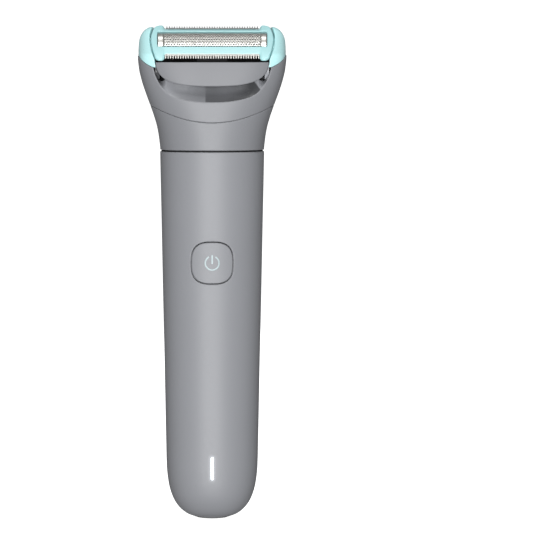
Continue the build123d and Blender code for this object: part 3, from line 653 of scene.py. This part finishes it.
SCOOP = [(0, 142.9), (4.0, 143.05), (7.6, 143.4), (12.3, 144.45), (15.8, 146.4), (18.6, 150.3), (19.9, 153.7), (20.1, 157.0)]
sc = smoother([(-x, z) for x, z in reversed(SCOOP[1:])] + SCOOP, 6)
scoop_poly = [tuple(p) for p in sc] + [(20.1, 180.0), (-20.1, 180.0)]
scoop_m = Map2(lambda x, z: -poly_dist(scoop_poly)(x, z), -28, 28, 132, 172, 0.12)
EDGE = [(15.0, 154.6), (19.0, 154.9), (20.5, 155.1), (22.5, 156.1), (24.0, 157.3), (25.1, 158.6), (25.6, 159.4), (30, 162.8)]
edge_pts = smoother(EDGE, 8)


def edge_z(x):
    return np.interp(np.abs(x), edge_pts[:, 0], edge_pts[:, 1])


def barrel_d(y, z):
    return np.sqrt((y - AXIS_Y) ** 2 + (z - AXIS_Z) ** 2)


def smoothstep(a, b, v):
    t = np.clip((v - a) / (b - a), 0, 1)
    return t * t * (3 - 2 * t)


def neck_shell_f(x, y, z):
    L = neck(x, y, z)
    m = scoop_m(x, z)
    frontness = smoothstep(-1.0, -4.0, y)
    k = 1.28 + 5.2 * smoothstep(15.5, 19.4, np.abs(x)) * smoothstep(146.5, 150.0, z)
    mp = np.maximum(m, 0) * frontness
    wall = 1.8 + k * mp
    d = np.maximum(L, -(L + wall))
    d = np.maximum(d, -(L + 7.6))
    d = rmax(d, (arc_z(x) + 0.07 - z) * 0.96, 0.07)
    cut = np.minimum(m, (L + k * m) / np.sqrt(1 + k * k))
    cut = np.where(y < -2.0, cut, -1.0)
    d = rmax(d, cut, 0.10)
    # rear lip towards the barrel
    bar = barrel_d(y, z)
    lip = np.maximum(np.maximum(10.7 - bar, bar - 12.4), np.maximum(L, np.abs(x) - 20.1))
    lip = np.maximum(lip, np.maximum(153.0 - z, 2.0 - y))
    d = np.where(np.abs(x) < 20.1, np.minimum(d, lip), d)
    d = np.where((np.abs(x) < 20.1), np.maximum(d, 10.7 - bar), d)
    arms = rmax(d, (z - edge_z(x) + 0.05) * 0.86, 0.10)
    arms = np.maximum(arms, 20.1 - np.abs(x))
    mid = rmax(d, z - 160.5, 0.5)
    mid = np.maximum(mid, np.abs(x) - 20.1)
    return np.minimum(arms, mid)


neck_upper = solid("neck_upper", neck_shell_f, (-26.2, -17.6, 135.4), (26.2, 16.6, 161.4), FINE, mat_neck_painted_shade, "neck", ("neck_shell",))
# the scoop is glossier than the satin rest, and its tone carries painted reflection and shade
me = neck_upper.data
me.materials.append(mat_scoop_painted)
cen = np.empty(len(me.polygons) * 3)
me.polygons.foreach_get("center", cen)
cen = cen.reshape(-1, 3) / MM
inside = (scoop_m(cen[:, 0], cen[:, 2]) > 0.10) & (cen[:, 1] < -2.5) & (neck(cen[:, 0], cen[:, 1], cen[:, 2]) < -0.14) & (np.abs(cen[:, 0]) < 20.0)
me.polygons.foreach_set("material_index", inside.astype(np.int32))
me.update()

# bib panel
BIB = [(0, 148.45), (4.5, 148.55), (9.0, 148.85), (13.1, 149.65), (16.1, 150.9), (18.1, 152.7), (19.1, 154.9), (19.3, 157.3)]
bb = smoother([(-x, z) for x, z in reversed(BIB[1:])] + BIB, 6)
bib_poly = [tuple(p) for p in bb]
bib_m = Map2(lambda x, z: poly_dist(bib_poly)(x, z), -22, 22, 145, 160, 0.08)


def bib_f(x, y, z):
    L = neck(x, y, z)
    d = np.maximum(bib_m(x, z), z - 156.72)
    d = rmax(d, L + 0.85, 0.22)
    return np.maximum(d, -(L + 2.5))


solid("bib", bib_f, (-20.0, -17.0, 147.8), (20.0, -8.5, 158.0), 0.22, mat_bib_painted_shade, "head", ("bib_panel",))

# ---------------------------------------------------------------- pods
GAP = [(-9.6, 19.15), (-8.6, 19.4), (-5.9, 20.05), (-3.6, 20.6), (-0.8, 21.0), (1.6, 21.15), (4.2, 20.9), (7.1, 20.1), (8.6, 19.2), (9.5, 18.5)]
gap_pts = smoother(GAP, 8)


def gap_x(s):
    return np.interp(s, gap_pts[:, 0], gap_pts[:, 1])


side = [(-15.9, 152.0), (-15.6, 156.6), (-14.7, 158.3), (-9.4, 163.2), (-5.4, 167.0), (-3.9, 168.2), (-2.3, 168.6), (-0.6, 168.2),
        (1.6, 166.9), (4.0, 164.6), (6.0, 161.6), (7.3, 158.4), (8.6, 154.4), (9.4, 150.0), (8.5, 140.0), (-15.0, 140.0)]
PA = (-3.6, 160.3)
side_s = smoother(side + [side[0]], 6)
ang = np.linspace(-math.pi, math.pi, 1441)
rho = np.zeros_like(ang)
sp0, sp1 = side_s, np.roll(side_s, -1, 0)
for i, t in enumerate(ang):
    dy, dz = math.cos(t), math.sin(t)
    best = 40.0
    ex, ey = sp1[:, 0] - sp0[:, 0], sp1[:, 1] - sp0[:, 1]
    den = dy * ey - dz * ex
    ok = np.abs(den) > 1e-9
    tt = np.where(ok, ((sp0[:, 0] - PA[0]) * ey - (sp0[:, 1] - PA[1]) * ex) / np.where(ok, den, 1), -1)
    uu = np.where(ok, ((sp0[:, 0] - PA[0]) * dz - (sp0[:, 1] - PA[1]) * dy) / np.where(ok, den, 1), -1)
    hit = tt[ok & (tt > 0) & (uu >= -1e-6) & (uu <= 1 + 1e-6)]
    rho[i] = hit.min() if len(hit) else best


def pod_f(sx):
    def f(x, y, z):
        ax = x * sx
        L = neck(x, y, z)
        r = np.sqrt((y - PA[0]) ** 2 + (z - PA[1]) ** 2)
        q = r / np.interp(np.arctan2(z - PA[1], y - PA[0]), ang, rho)
        u = np.maximum(ax - 20.3, 0) / 5.15
        g = (u ** 2.2 + q ** 2.2) ** (1 / 2.2)
        dome = (g - 1) * 5.0
        s, h = face_of(y, z)
        inner = np.maximum(gap_x(s), gap_x(s - 1.15)) + 0.2 - ax
        # below the frame the pod comes in close to the housing's end wall
        inner = np.minimum(inner, np.maximum(19.52 - ax, h + 1.8 + 0.16 * np.abs(s)))
        d = rmax(dome, L, 0.5)
        d = rmax(d, inner, 0.45)
        return rmax(d, (edge_z(x) + 0.05 - z) * 0.86, 0.12)
    return f


for sx, nm in ((-1, "left_pod"), (1, "right_pod")):
    lo = (min(sx * 19.0, sx * 25.9), -16.6, 154.2)
    hi = (max(sx * 19.0, sx * 25.9), 10.2, 169.4)
    solid(nm + "_cap", pod_f(sx), lo, hi, 0.2, mat_mint, "neck", (nm,))

# ---------------------------------------------------------------- foil frame (face frame x, s, h)
def frame_top(s, ax):
    crown = 0.42 - (np.abs(s) / 8.45) ** 4 * 0.4
    mid = 1 - smoothstep(16.0, 17.2, ax)
    return crown - mid * (0.30 * np.maximum(s - 4.9, 0) + 0.07 * np.maximum(-2.4 - s, 0))


def frame_f(x, s, h):
    ax = np.abs(x)
    end = (ax - (gap_x(s) - 0.2)) * 0.97
    outer = rmax(end, np.where(s > 0, s - 8.55, -s - 8.3), 1.35)
    # notches that show the trimmers, with a round shoulder
    nf = rmax(ax - 16.25, s + 5.75, 0.55)
    nr = rmax(ax - 16.1, -(s - 6.85), 0.4)
    plan = rmax(outer, -nf, 1.25)
    plan = rmax(plan, -nr, 0.9)
    win = rounded_rect(x, s - F0 - 0.15, 18.75, FH + 0.15, 0.4)
    low = -1.35 + 0.45 * smoothstep(-5.2, -6.2, s)
    d = rmax(plan, h - frame_top(s, ax), 0.4)
    d = rmax(d, low - h, 0.2)
    skirt = np.maximum(rounded_rect(x, s - 1.2, 17.6, 5.2, 0.5), np.maximum(h + 1.0, -4.6 - h))
    notch = np.maximum(ax - 6.6, h + 1.45)
    skirt = np.maximum(skirt, -notch)
    d = np.minimum(d, skirt)
    inner = rounded_rect(x, s - F0, 16.9, FH, 0.4)
    d = rmax(d, -np.maximum(win, -1.9 - h), 0.22)
    return np.maximum(d, -inner)


mint_frame = solid("mint_frame", frame_f, (-21.6, -9.0, -5.0), (21.6, 9.0, 0.9), 0.17, mat_mint_frame, "cartridge", ("foil_frame",), local=True)
me = mint_frame.data
me.materials.append(mat_black)
cen = np.empty(len(me.polygons) * 3)
me.polygons.foreach_get("center", cen)
cen = cen.reshape(-1, 3) / MM
me.polygons.foreach_set("material_index", (face_of(cen[:, 1], cen[:, 2])[1] < -1.5).astype(np.int32))
me.update()

# ---------------------------------------------------------------- foil with real holes
SAG, CHORD, TOP = 2.2, 3.35, 1.6
R_F = (CHORD ** 2 + SAG ** 2) / (2 * SAG)
half_ang = math.asin(CHORD / R_F) if SAG < R_F else math.pi / 2
ARC_L = R_F * half_ang


def on_foil(x, t, r=R_F):
    a = t / R_F
    return (x, F0 + r * math.sin(a), TOP - R_F + r * math.cos(a))


def foil_mesh():
    verts, faces = [], []

    def add(x, t):
        verts.append(on_foil(x, t))
        return len(verts) - 1

    px, pt, rx, rt = 0.88, 0.60, 0.35, 0.235
    X0, T0 = 16.7, ARC_L - 0.25
    nj = int(2 * T0 / pt)
    pt = 2 * T0 / nj
    ni = int(2 * X0 / px) + nj
    for j in range(nj):
        for i in range(-nj, ni + nj):
            cx0 = -X0 + i * px + (j * 0.5 * px)
            if cx0 > X0 + px or cx0 < -X0 - 2 * px:
                continue
            t0, t1 = -T0 + j * pt, -T0 + (j + 1) * pt
            c = [(cx0, t0), (cx0 + px, t0), (cx0 + 1.5 * px, t1), (cx0 + 0.5 * px, t1)]
            mx, mt = cx0 + 0.75 * px, (t0 + t1) / 2
            clip = lambda p: (max(-X0 - 0.001, min(X0 + 0.001, p[0])), p[1])
            cc = [clip(p) for p in c]
            w = max(p[0] for p in cc) - min(p[0] for p in cc)
            if w < 0.02:
                continue
            hole = abs(mx) < X0 - 0.45 and w > 1.45 * px
            if not hole:
                ids = [add(*p) for p in cc]
                if len({tuple(np.round(verts[k], 6)) for k in ids}) >= 3:
                    faces.append(ids)
                continue
            mids = [((cc[k][0] + cc[(k + 1) % 4][0]) / 2, (cc[k][1] + cc[(k + 1) % 4][1]) / 2) for k in range(4)]
            ring = []
            for k in range(4):
                ring += [cc[k], mids[k]]
            o = [add(*p) for p in ring]
            inn = []
            for p in ring:
                a = math.atan2(p[1] - mt, p[0] - mx)
                inn.append(add(mx + rx * math.cos(a), mt + rt * math.sin(a)))
            for k in range(8):
                k2 = (k + 1) % 8
                faces.append([o[k], o[k2], inn[k2], inn[k]])
    # plain borders
    def strip(x0, x1, t0, t1, nx, ntt):
        g = [[add(x0 + (x1 - x0) * i / nx, t0 + (t1 - t0) * j / ntt) for j in range(ntt + 1)] for i in range(nx + 1)]
        for i in range(nx):
            for j in range(ntt):
                faces.append([g[i][j], g[i + 1][j], g[i + 1][j + 1], g[i][j + 1]])

    strip(-18.66, -X0, -ARC_L, ARC_L, 6, 36)
    strip(X0, 18.66, -ARC_L, ARC_L, 6, 36)
    strip(-X0, X0, -ARC_L, -T0, 60, 2)
    strip(-X0, X0, T0, ARC_L, 60, 2)
    return np.array(verts), faces


fv, ff = foil_mesh()
foil = mesh_obj("foil_sheet", to_world(fv), ff, mat_foil, None)
bm = bmesh.new()
bm.from_mesh(foil.data)
bmesh.ops.remove_doubles(bm, verts=bm.verts, dist=0.004 * MM)
bmesh.ops.recalc_face_normals(bm, faces=bm.faces)
bm.to_mesh(foil.data)
bm.free()
foil.data.polygons.foreach_set("use_smooth", [True] * len(foil.data.polygons))
sol = foil.modifiers.new("thick", "SOLIDIFY")
sol.thickness = 0.07 * MM
sol.offset = -1
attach(foil, "foil_unit")
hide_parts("foil")


# ---------------------------------------------------------------- toothed plates
def comb_mesh(name, s_root, s_tip, x_half, pitch, w_root, w_tip, h0, h1, tip_drop, tooth, mat, body, node):
    verts, faces = [], []

    def hexa(p):
        b = len(verts)
        verts.extend(p)
        for q in ((0, 3, 2, 1), (4, 5, 6, 7), (0, 1, 5, 4), (1, 2, 6, 5), (2, 3, 7, 6), (3, 0, 4, 7)):
            faces.append([b + k for k in q])

    d = 1 if s_tip > s_root else -1
    root = s_tip - d * tooth

    def block(xa0, xa1, xb0, xb1, sa, sb, ha0, ha1, hb0, hb1):
        p = [(xa0, sa, ha0), (xa1, sa, ha0), (xb1, sb, hb0), (xb0, sb, hb0),
             (xa0, sa, ha1), (xa1, sa, ha1), (xb1, sb, hb1), (xb0, sb, hb1)]
        hexa(p)

    block(-x_half, x_half, -x_half, x_half, s_root, root + d * 0.02, h0, h1, h0, h1)
    n = int((2 * x_half - w_root) / pitch)
    for i in range(n + 1):
        x = (i - n / 2) * pitch
        m = root + d * tooth * 0.72
        wm = w_root * 0.45 + w_tip * 0.55
        block(x - w_root / 2, x + w_root / 2, x - wm / 2, x + wm / 2, root, m, h0, h1, h0, h1 - tip_drop * 0.3)
        block(x - wm / 2, x + wm / 2, x - w_tip / 2, x + w_tip / 2, m, s_tip, h0, h1 - tip_drop * 0.3, h0 + 0.05, h1 - tip_drop)
    ob = mesh_obj(name, to_world(np.array(verts)), faces, mat, None, smooth=False)
    bm = bmesh.new()
    bm.from_mesh(ob.data)
    bmesh.ops.recalc_face_normals(bm, faces=bm.faces)
    bm.to_mesh(ob.data)
    bm.free()
    bv = ob.modifiers.new("edge", "BEVEL")
    bv.width = 0.035 * MM
    bv.segments = 2
    bv.limit_method = "ANGLE"
    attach(ob, body)
    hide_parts(node)
    return ob


comb_mesh("front_comb_teeth", -5.7, -7.72, 16.2, 0.86, 0.46, 0.26, -0.35, -0.02, 0.12, 1.32, mat_teeth, "cartridge", "front_comb")
comb_mesh("rear_comb_teeth", 6.8, 8.25, 16.0, 0.86, 0.44, 0.20, -0.45, -0.15, 0.08, 1.05, mat_rear, "cartridge", "rear_comb")
comb_mesh("front_cutting_blade", -5.9, -7.5, 14.9, 1.15, 0.6, 0.34, -0.72, -0.4, 0.05, 1.3, mat_blade_painted_shade, "trimmers", "front_blade")
comb_mesh("rear_cutting_blade", 7.0, 7.75, 14.9, 1.15, 0.55, 0.34, -0.82, -0.5, 0.05, 0.6, mat_blade_painted_shade, "trimmers", "rear_blade")

# edges of the CAD pieces that show, softened
for n in ("head_housing", "cartridge_base", "foil_carrier", "neck_base", "handle_cap", "socket_liner", "yoke_frame", "eccentric",
          "drive_carriage", "inner_chassis", "motor_can"):
    ob = NODES[n]
    bv = ob.modifiers.new("edge", "BEVEL")
    bv.width = 0.12 * MM
    bv.segments = 2
    bv.limit_method = "ANGLE"
    bv.angle_limit = math.radians(40)

# ---------------------------------------------------------------- floor and light
mat_floor = bpy.data.materials.new("pale_floor")
mat_floor.use_nodes = True
nt = mat_floor.node_tree
pb = next(n for n in nt.nodes if n.type == "BSDF_PRINCIPLED")
pb.inputs["Base Color"].default_value = (0.95, 0.95, 0.95, 1)
pb.inputs["Roughness"].default_value = 0.9
pb.inputs["Specular IOR Level"].default_value = 0.1
pb.inputs["Emission Color"].default_value = (1, 1, 1, 1)
pb.inputs["Emission Strength"].default_value = 1.0
bm = bmesh.new()
bmesh.ops.create_circle(bm, cap_ends=True, segments=96, radius=14.0)
me = bpy.data.meshes.new("floor")
bm.to_mesh(me)
bm.free()
me.materials.append(mat_floor)
floor = bpy.data.objects.new("floor", me)
floor.location = (0, 0, min(0.0, cad_lo[2]) - 0.00005)
scene.collection.objects.link(floor)
floor.visible_diffuse = False
floor.visible_glossy = False
floor.visible_shadow = False
floor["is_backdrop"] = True

world = bpy.data.worlds.new("studio")
scene.world = world
world.use_nodes = True
nt = world.node_tree
bg = next(n for n in nt.nodes if n.type == "BACKGROUND")
bg.inputs[0].default_value = (1, 1, 1, 1)
bg.inputs[1].default_value = 0.235
bg2 = nt.nodes.new("ShaderNodeBackground")
bg2.inputs[0].default_value = (1, 1, 1, 1)
bg2.inputs[1].default_value = 1.05
lp = nt.nodes.new("ShaderNodeLightPath")
mix = nt.nodes.new("ShaderNodeMixShader")
outw = next(n for n in nt.nodes if n.type == "OUTPUT_WORLD")
nt.links.new(lp.outputs["Is Camera Ray"], mix.inputs[0])
nt.links.new(bg.outputs[0], mix.inputs[1])
nt.links.new(bg2.outputs[0], mix.inputs[2])
nt.links.new(mix.outputs[0], outw.inputs[0])


def area(name, loc, target, size, power, sy=None, color=(1, 1, 1)):
    d = bpy.data.lights.new(name, "AREA")
    d.energy = power
    d.color = color
    d.size = size
    if sy:
        d.shape = "RECTANGLE"
        d.size_y = sy
    o = bpy.data.objects.new(name, d)
    scene.collection.objects.link(o)
    o.location = loc
    o.visible_camera = False
    o.rotation_mode = "QUATERNION"
    o.rotation_quaternion = (Vector(target) - Vector(loc)).to_track_quat("-Z", "Y")
    return o


area("key", (-0.06, -1.5, 0.0), (0, 0, 0.07), 0.30, 20.0, 0.9)
area("top", (0.0, -0.35, 1.1), (0, 0, 0.15), 0.7, 3.7, 0.5)
area("low", (0.0, -1.2, -0.55), (0, 0, 0.01), 0.3, 3.4, 0.3)
area("back_fill", (0.0, 1.6, 0.5), (0, 0, 0.1), 1.0, 3.0, 0.8)
scene.view_settings.view_transform = "Standard"
scene.view_settings.look = "None"

lo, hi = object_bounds()
